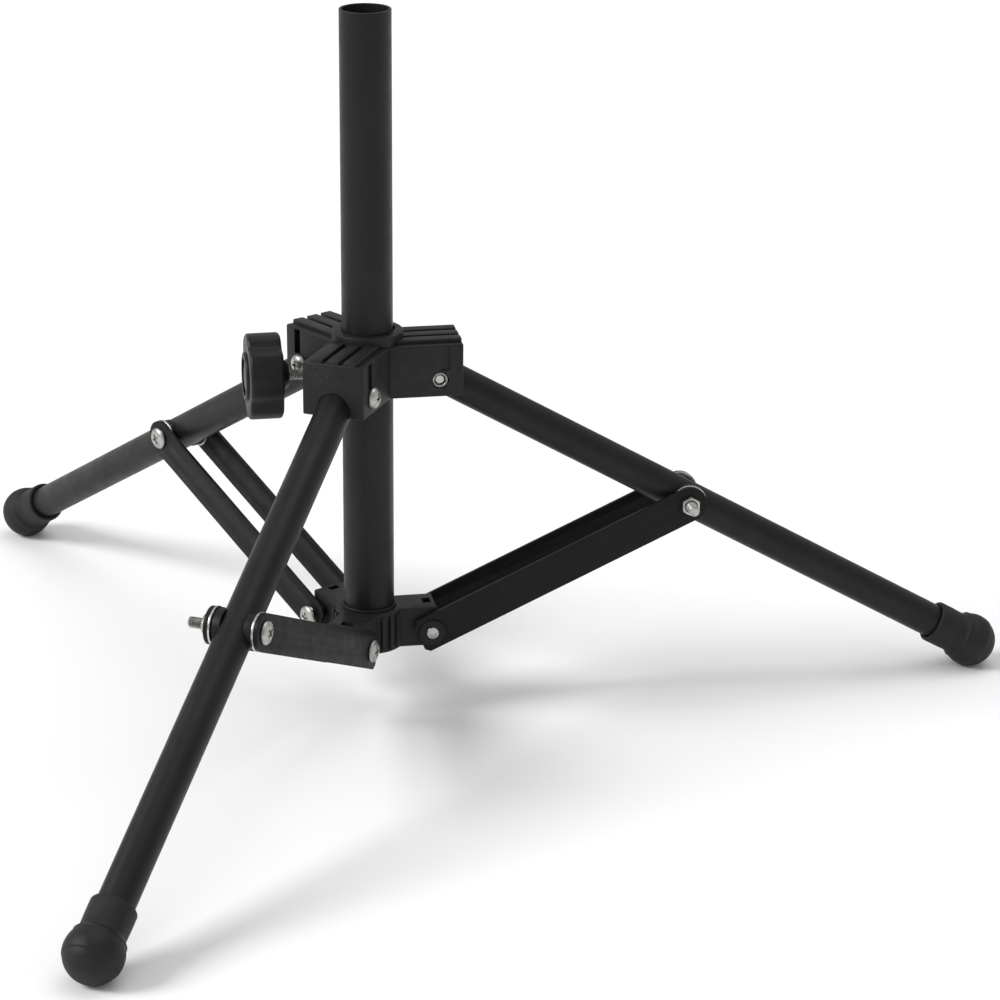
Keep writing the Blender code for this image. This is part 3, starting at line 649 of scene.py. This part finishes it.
def collar_additions(azimuth):
    """One arm, and the upright ribs beside it."""
    arm = box((0, -COLLAR_ARM_HALF, COLLAR_BOTTOM), (COLLAR_ARM_END, COLLAR_ARM_HALF, COLLAR_TOP), 1.0)
    additions = [placed(arm, turn_z(azimuth))]
    for angle in COLLAR_RIB_ANGLES:
        rib = box((COLLAR_RADIUS - COLLAR_RIB_INSET, -COLLAR_RIB_HALF, COLLAR_RIB_INSET),
                  (COLLAR_RADIUS + COLLAR_RIB_RISE, COLLAR_RIB_HALF, COLLAR_TOP - COLLAR_RIB_INSET), 0.4, 2)
        additions.append(placed(rib, turn_z(azimuth + angle)))
    return additions


def collar_cuts(azimuth):
    """The pivot hole through one arm, and the notch in its top."""
    pivot = move_mm(COLLAR_JOINT_RADIUS, 0, COLLAR_JOINT.z / MM) @ TO_LEFT
    hole = drum(HOLE_RADIUS, -REACH, REACH, 40)
    notch = box((COLLAR_ARM_END - NOTCH_FAR, -NOTCH_HALF, COLLAR_TOP - NOTCH_DEPTH),
                (COLLAR_ARM_END - NOTCH_NEAR, NOTCH_HALF, COLLAR_TOP + 2))
    return [placed(hole, turn_z(azimuth), pivot), placed(notch, turn_z(azimuth))]


def collar_rivet(face, tail):
    """A screw-like head on face, a plain shank, and an end turned over at tail."""
    peened = turned([(0, tail, 0), (RIVET_TAIL_RADIUS, tail), (RIVET_TAIL_RADIUS - 0.4, tail - 1.0),
                     (0, tail - 1.1, 0)], 0.25, 40)
    shank = drum(BOLT_RADIUS, tail - 0.3, face - 0.5, 40)
    return merged(pan_head(RIVET_HEAD_RADIUS, face, RIVET_HEAD_HEIGHT), shank, peened)


def build_collar():
    body = turned([(0, COLLAR_TOP, 0), (COLLAR_RADIUS, COLLAR_TOP), (COLLAR_RADIUS, COLLAR_BOTTOM),
                   (0, COLLAR_BOTTOM, 0)], 0.8, 96)
    additions = []
    cuts = [drum(POST_RADIUS + GAP, -OVERCUT, COLLAR_TOP + OVERCUT, 128)]
    for azimuth in LEGS.values():
        additions += collar_additions(azimuth)
        cuts += collar_cuts(azimuth)
    screw_hole = drum(SET_SCREW_HOLE, SET_HOLE_START, SET_HOLE_END, 32)
    cuts.append(placed(screw_hole, move_mm(z=SET_SCREW_HEIGHT) @ turn_z(90) @ turn_y(90)))
    body = bevelled(cut(joined(body, *additions), *cuts), 0.18, 2, 40)
    piece("collar_moulding", body, Matrix(), "base", HUB_PLASTIC, ["lower_collar"])

    socket_floor = SET_SCREW_END - 3.2
    screw = turned([(0, socket_floor), (1.25, socket_floor), (1.25, SET_SCREW_END),
                    (SET_SCREW_RADIUS - 0.05, SET_SCREW_END), (SET_SCREW_RADIUS, SET_SCREW_START + 0.4),
                    (1.8, SET_SCREW_START), (0, SET_SCREW_START)], 0.15, 40)
    piece("collar_grub_screw", screw, SET_SCREW, "base", ZINC, ["collar_set_screw"])
    for leg, azimuth in LEGS.items():
        play = 0.0 if leg == "a" else COLLAR_PLAY
        rivet = collar_rivet(BAR_FAR + GAP + play, RIVET_TAILS[leg])
        at = around(COLLAR_JOINT, azimuth)
        piece(f"collar_rivet_{leg}", rivet, at @ TO_LEFT, "base", ZINC, [f"collar_pivot_{leg}"])
        if leg in COLLAR_DISCS:
            disc = washer(HOLE_RADIUS, COLLAR_DISC_RADIUS, *COLLAR_DISCS[leg])
            piece(f"collar_disc_{leg}", disc, at @ TO_RIGHT, "base", SPACER_PLASTIC, [])


# ---------------------------------------------------------------- braces and legs

def bar_outline():
    tail = BRACE_LENGTH + BAR_TAIL
    outline = arc((0, 0), BAR_HALF, 90, 270, 40)
    outline += [(tail - BAR_CORNER, -BAR_HALF), (tail, -BAR_HALF + BAR_CORNER),
                (tail, BAR_HALF - BAR_CORNER), (tail - BAR_CORNER, BAR_HALF)]
    return outline


def build_brace(leg, azimuth):
    """Two bars; those of legs b and c have a wide collar hole, because the fold shifts them there."""
    if leg == "a":
        end_hole = circle(HOLE_RADIUS, (BRACE_LENGTH, 0))
    else:
        centre = (BRACE_LENGTH - WIDE_HOLE_BACK * HUB_DRIFT, -WIDE_HOLE_DOWN * HUB_DRIFT)
        end_hole = circle(WIDE_HOLE_RADIUS, centre)
    for side, sign in SIDES.items():
        start, end = (BAR_NEAR, BAR_FAR) if sign > 0 else (-BAR_FAR, -BAR_NEAR)
        bar = bevelled(plate(bar_outline(), [circle(HOLE_RADIUS), end_hole], start, end), 0.35, 3, 40)
        piece(f"bar_{leg}_{side}", bar, brace_frame(azimuth) @ TO_LEFT, f"brace_{leg}", BAR_PAINT,
              [f"brace_{leg}_{side}"])


def foot_profile():
    """Sleeve, flare, smooth upper ball and a slightly smaller tread, from the tube's end to the tip."""
    ball = FOOT_BALL_RADIUS
    sleeve = LEG_RADIUS + 0.15
    shoulder = math.degrees(math.acos(FOOT_SHOULDER_RADIUS / ball))
    tread_start, tread_end = FOOT_TREAD_ANGLES
    path = [(sleeve, -LEG_OUTER_END - 0.2), (sleeve, -FOOT_START - 0.8), (LEG_RADIUS + 0.7, -FOOT_START)]
    path += arc((FOOT_SLEEVE_RADIUS - 1.1, -FOOT_START - 1.1), 1.1, 90, 0, 6)
    path += [(radius, before - FOOT_NECK) for radius, before in FOOT_FLARE]
    path += arc((0, -FOOT_BALL), ball, shoulder, tread_start + 1.5, 12)
    path += arc((0, -FOOT_BALL + 0.12), ball - 0.22, tread_start, tread_end, 14)
    return path + [(0, -FOOT_TIP), (0, -LEG_OUTER_END - 0.2)]


def build_foot(leg, azimuth):
    """A rubber foot, flattened where it meets the floor."""
    foot = lathe(foot_profile(), 96)
    made = piece(f"foot_rubber_{leg}", foot, leg_frame(azimuth) @ TO_HUB, f"leg_{leg}", RUBBER,
                 [f"foot_{leg}"], sharp=50)
    for vertex in made.data.vertices:
        vertex.co.z = max(vertex.co.z, cad_low.z)


def joint_saddle():
    """A round spacer, hollowed to sit on the leg tube."""
    block = turned([(0, SPACER_FACE, 0), (SPACER_RADIUS, SPACER_FACE), (SPACER_RADIUS, SPACER_INNER, 0),
                    (0, SPACER_INNER, 0)], 0.5, 72)
    seat = placed(drum(LEG_RADIUS + 0.12, -REACH, REACH, 96), turn_y(90))
    return bevelled(cut(block, seat, drum(HOLE_RADIUS, 0, SHORT_REACH, 40)), 0.15, 1, 45)


def build_leg(leg, azimuth):
    at_hub = leg_frame(azimuth)
    at_joint = at_hub @ shifted(JOINT_DISTANCE)
    body = f"leg_{leg}"
    tube = lathe(rounded([(LEG_INNER, -LEG_INNER_END), (LEG_RADIUS, -LEG_INNER_END),
                          (LEG_RADIUS, -LEG_OUTER_END), (LEG_INNER, -LEG_OUTER_END)], 0.4), 96)
    holes = [placed(drum(HOLE_RADIUS, -SHORT_REACH, SHORT_REACH, 40), move_mm(distance) @ TO_LEFT)
             for distance in (0, JOINT_DISTANCE)]
    tube = cut(placed(tube, TO_HUB), *holes)
    piece(f"leg_pipe_{leg}", tube, at_hub, body, POWDER, [f"leg_tube_{leg}"])
    build_foot(leg, azimuth)
    for side, turn in (("left", TO_LEFT), ("right", TO_RIGHT)):
        piece(f"joint_saddle_{leg}_{side}", joint_saddle(), at_joint @ turn, body, SPACER_PLASTIC,
              [f"joint_spacer_{leg}_{side}"])
        shim = washer(HOLE_RADIUS, WASHER_RADIUS, WASHER_NEAR, WASHER_FAR)
        piece(f"joint_shim_{leg}_{side}", shim, at_joint @ turn, body, WASHER_STEEL,
              [f"joint_washer_{leg}_{side}"])
    face = BAR_FAR + GAP
    screw = bolt(JOINT_HEAD_RADIUS, face, JOINT_HEAD_HEIGHT, -JOINT_TIP, -face)
    piece(f"joint_screw_{leg}", screw, at_joint @ TO_LEFT, body, ZINC, [f"joint_bolt_{leg}"])
    nut = hex_nut(JOINT_NUT_FLATS, face, face + JOINT_NUT_HEIGHT)
    piece(f"joint_hex_{leg}", nut, at_joint @ TO_RIGHT, body, ZINC, [f"joint_nut_{leg}"])


# ---------------------------------------------------------------- hub

def hub_bore():
    """The post's bore, lengthened towards +Y by the hub's drift."""
    mesh = drum(POST_RADIUS + 0.35, HUB_BOTTOM - OVERCUT, HUB_RING_TOP + OVERCUT, 128)
    for vertex in mesh.vertices:
        if vertex.co.y > 0:
            vertex.co.y += HUB_DRIFT
    return mesh


def hub_additions(azimuth):
    """One arm with three ribs along its top."""
    arm = box((0, -HUB_ARM_HALF, HUB_BOTTOM), (HUB_ARM_END, HUB_ARM_HALF, HUB_SHOULDER), 0.9)
    additions = [placed(arm, turn_z(azimuth))]
    for row in (-1, 0, 1):
        middle = row * HUB_RIB_PITCH
        rib = box((HUB_RIB_START, middle - HUB_RIB_HALF, HUB_SHOULDER - HUB_RIB_ROOT),
                  (HUB_RIB_END, middle + HUB_RIB_HALF, HUB_RIB_TOP), 0.5)
        additions.append(placed(rib, turn_z(azimuth)))
    return additions


def hub_slots():
    """A slot through one arm's left wall, and a shallow recess in its right wall."""
    wall = HUB_ARM_HALF
    return [
        box((SLOT_NEAR, CAVITY_HALF - 1, SLOT_BOTTOM), (SLOT_FAR, wall + OVERCUT, SLOT_TOP), 0.3, 2),
        box((SLOT_NEAR, -wall - OVERCUT, SLOT_BOTTOM), (SLOT_FAR, -wall + SLOT_DEPTH, SLOT_TOP), 0.3, 2),
    ]


def hub_leg_room():
    """The hollow in one arm, with an arched end that clears the leg tube."""
    pivot_radius = math.hypot(HUB_JOINT.x, HUB_JOINT.y) / MM
    clear = LEG_RADIUS + 0.4
    slope = math.degrees(leg_frame(0).to_euler().y)
    drop = math.tan(math.radians(slope)) * (CAVITY_END - pivot_radius)
    floor = HUB_BOTTOM - OVERCUT
    return [
        box((CAVITY_START, -CAVITY_HALF, floor), (CAVITY_END, CAVITY_HALF, CAVITY_TOP), 0.8, 2),
        placed(drum(clear, 0, ARCH_LENGTH, 96), move_mm(pivot_radius) @ turn_y(90 + slope)),
        box((CAVITY_END - 3, -clear, floor), (MOUTH_END, clear, -drop)),
    ]


def hub_pivot_cuts():
    """The hole for one leg's bolt, and the pocket for its nut."""
    at_pivot = move_mm(math.hypot(HUB_JOINT.x, HUB_JOINT.y) / MM)
    hole = drum(HOLE_RADIUS, -REACH, REACH, 40)
    pocket = plate(hexagon(POCKET_FLATS), [], POCKET_FLOOR, POCKET_END)
    return [placed(hole, at_pivot @ TO_LEFT), placed(pocket, at_pivot @ TO_RIGHT)]


def hub_cuts(azimuth):
    shapes = hub_slots() + hub_leg_room() + hub_pivot_cuts()
    return [placed(shape, turn_z(azimuth)) for shape in shapes]


def clamp_cuts():
    """Along the knob's axis: the pad's room, the insert's seat and the screw's hole."""
    pad_room = drum(PAD_RADIUS + GAP, PAD_ROOM_START, PAD_ROOM_END, 48)
    insert_seat = drum(INSERT_RADIUS + GAP, INSERT_START - GAP, CLAMP_BOSS_END + OVERCUT, 48)
    return [pad_room, insert_seat, drum(HOLE_RADIUS, CLAMP_HOLE_START, CLAMP_BOSS_END, 40)]


def build_hub():
    body = turned([(0, HUB_RING_TOP, 0), (HUB_RING_RADIUS, HUB_RING_TOP), (HUB_RING_RADIUS, HUB_BOTTOM),
                   (0, HUB_BOTTOM, 0)], 1.0, 128)
    additions = [shape for azimuth in LEGS.values() for shape in hub_additions(azimuth)]
    to_knob = move_mm(z=KNOB_HEIGHT) @ turn_z(KNOB_AZIMUTH) @ turn_y(90)
    additions.append(placed(drum(CLAMP_BOSS_RADIUS, 0, CLAMP_BOSS_END, 72), to_knob))
    cuts = [hub_bore()]
    cuts += [shape for azimuth in LEGS.values() for shape in hub_cuts(azimuth)]
    cuts += [placed(shape, to_knob) for shape in clamp_cuts()]
    body = bevelled(cut(joined(body, *additions), *cuts), 0.16, 2, 40)
    piece("hub_moulding", body, HUB_CENTRE, "hub", HUB_PLASTIC, ["hub_body"])

    insert = rounded([(HOLE_RADIUS, INSERT_END), (INSERT_RADIUS, INSERT_END),
                      (INSERT_RADIUS, INSERT_START), (HOLE_RADIUS, INSERT_START)], 0.3)
    piece("hub_insert", lathe(insert, 60), CLAMP, "hub", BRASS, ["clamp_insert"])
    for leg, azimuth in LEGS.items():
        at = around(HUB_JOINT, azimuth)
        screw = bolt(HUB_HEAD_RADIUS, HUB_ARM_HALF + GAP, HUB_HEAD_HEIGHT, HUB_SCREW_TIP, HUB_THREAD_START)
        piece(f"hub_screw_{leg}", screw, at @ TO_LEFT, "hub", ZINC, [f"hub_bolt_{leg}"])
        nut = hex_nut(HUB_NUT_FLATS, HUB_NUT_START, HUB_NUT_END)
        piece(f"hub_hex_{leg}", nut, at @ TO_RIGHT, "hub", ZINC, [f"hub_nut_{leg}"])


# ---------------------------------------------------------------- clamp

def knob_outline():
    """Four broad lobes with round valleys between them."""
    points = []
    for step in range(KNOB_STEPS):
        angle = 2 * math.pi * step / KNOB_STEPS
        valley = max(0.0, math.cos(KNOB_LOBES * (angle - math.radians(KNOB_PHASE)))) ** 3
        radius = KNOB_RADIUS - KNOB_VALLEY * valley
        points.append((radius * math.cos(angle), radius * math.sin(angle)))
    return points


def build_knob():
    """A lobed body with a neck behind it, a raised face, and a round recess for the cap."""
    body = bevelled(plate(knob_outline(), [], KNOB_START, KNOB_END), 1.7, 4, 50)
    inside, neck_end = KNOB_START + KNOB_SINK, KNOB_START - KNOB_NECK_LENGTH
    neck = turned([(0, inside, 0), (KNOB_NECK_RADIUS + 0.5, inside, 0), (KNOB_NECK_RADIUS, KNOB_START, 1.2),
                   (KNOB_NECK_END, neck_end), (0, neck_end, 0)], 0.5, 72)
    raised, inside = KNOB_END + FACE_RISE, KNOB_END - KNOB_SINK
    face = turned([(0, raised, 0), (FACE_RADIUS, raised), (FACE_RADIUS + 1.3, inside, 0), (0, inside, 0)],
                  0.7, 96)
    recess = drum(CAP_RADIUS + 0.2, KNOB_END - 1.2, KNOB_END + OVERCUT, 96)
    screw_hole = drum(BOLT_RADIUS + 0.15, KNOB_START - 8, SCREW_END + 0.2, 48)
    body = cut(joined(body, neck, face), recess, screw_hole)
    piece("knob_body", body, CLAMP, "knob", KNOB_PLASTIC, ["clamp_knob"], sharp=50)


def build_clamp():
    pad = turned([(0, PAD_END), (PAD_RADIUS, PAD_END), (PAD_RADIUS, PAD_START), (0, PAD_START)], 0.4, 48)
    piece("pad_disc", pad, CLAMP, "pad", SPACER_PLASTIC, ["clamp_pad"])
    screw = thread(BOLT_RADIUS, THREAD_DEPTH, THREAD_PITCH, SCREW_START, SCREW_END)
    piece("knob_screw", screw, CLAMP, "knob", ZINC, ["clamp_screw"])
    build_knob()
    dome = [(radius, KNOB_END + height) for radius, height in CAP_DOME]
    rim = [(CAP_RADIUS, KNOB_END + CAP_EDGE), (CAP_RADIUS, KNOB_END + CAP_BACK), (0, KNOB_END + CAP_BACK)]
    cap = lathe(dome + rim, 96, closed=False)
    piece("knob_button", cap, CLAMP, "knob", KNOB_PLASTIC, ["knob_cap"])


# ---------------------------------------------------------------- stage, lights and camera

def build_floor():
    made = Nodes("floor_paper", 0.85, specular=0.1)
    made.set("Base Color", made.ramp(made.noise(3, 2, 0.5), [(0.0, grey(0.93)), (1.0, grey(0.95))]))
    mesh = bpy.data.meshes.new("floor")
    size, low = FLOOR_HALF, cad_low.z - FLOOR_GAP
    mesh.from_pydata([(-size, -size, low), (size, -size, low), (size, size, low), (-size, size, low)], [],
                     [(0, 1, 2, 3)])
    floor = bpy.data.objects.new("floor", mesh)
    mesh.materials.append(made.material)
    bpy.context.scene.collection.objects.link(floor)


def add_light(name, azimuth, elevation, spread, strength):
    """A soft far light; spread is the angle that it fills as seen from the object."""
    data = bpy.data.lights.new(name, "SUN")
    data.angle = math.radians(spread)
    data.energy = strength
    light = bpy.data.objects.new(name, data)
    bpy.context.scene.collection.objects.link(light)
    a, e = math.radians(azimuth), math.radians(elevation)
    back = Vector((math.sin(a) * math.cos(e), -math.cos(a) * math.cos(e), math.sin(e)))
    light.location = back * LIGHT_DISTANCE
    light.rotation_mode = "QUATERNION"
    light.rotation_quaternion = back.to_track_quat("Z", "Y")


def build_world():
    """White where it is seen past the floor's edge, and dimmer as a light."""
    world = bpy.data.worlds.new("studio")
    world.use_nodes = True
    tree = world.node_tree
    background = tree.nodes["Background"]
    background.inputs["Color"].default_value = (1.0, 1.0, 1.0, 1.0)
    strength = tree.nodes.new("ShaderNodeMapRange")
    strength.inputs["To Min"].default_value = 0.55
    strength.inputs["To Max"].default_value = 1.0
    seen = tree.nodes.new("ShaderNodeLightPath").outputs["Is Camera Ray"]
    tree.links.new(seen, strength.inputs["Value"])
    tree.links.new(strength.outputs["Result"], background.inputs["Strength"])
    bpy.context.scene.world = world


def build_camera():
    """Stands in front of leg a, towards +X and above, looking 20 degrees down."""
    data = bpy.data.cameras.new("camera")
    data.sensor_width = CAMERA_SENSOR
    data.lens = CAMERA_LENS
    data.clip_start, data.clip_end = 0.05, 50.0
    camera = bpy.data.objects.new("camera", data)
    bpy.context.scene.collection.objects.link(camera)
    camera.location = turn_z(CAMERA_HEADING) @ Vector(CAMERA_PLACE)
    facing = turn_z(CAMERA_HEADING) @ turn_x(90 - CAMERA_PITCH) @ turn_z(CAMERA_ROLL)
    camera.rotation_mode = "QUATERNION"
    camera.rotation_quaternion = facing.to_quaternion()
    bpy.context.scene.camera = camera


build_post()
build_collar()
for leg_name, leg_azimuth in LEGS.items():
    build_brace(leg_name, leg_azimuth)
    build_leg(leg_name, leg_azimuth)
build_hub()
build_clamp()
build_floor()
build_world()
bpy.context.scene.view_settings.view_transform = "Standard"
add_light("key", azimuth=-58, elevation=38, spread=24, strength=2.2)
add_light("top", azimuth=150, elevation=72, spread=40, strength=0.5)
build_camera()
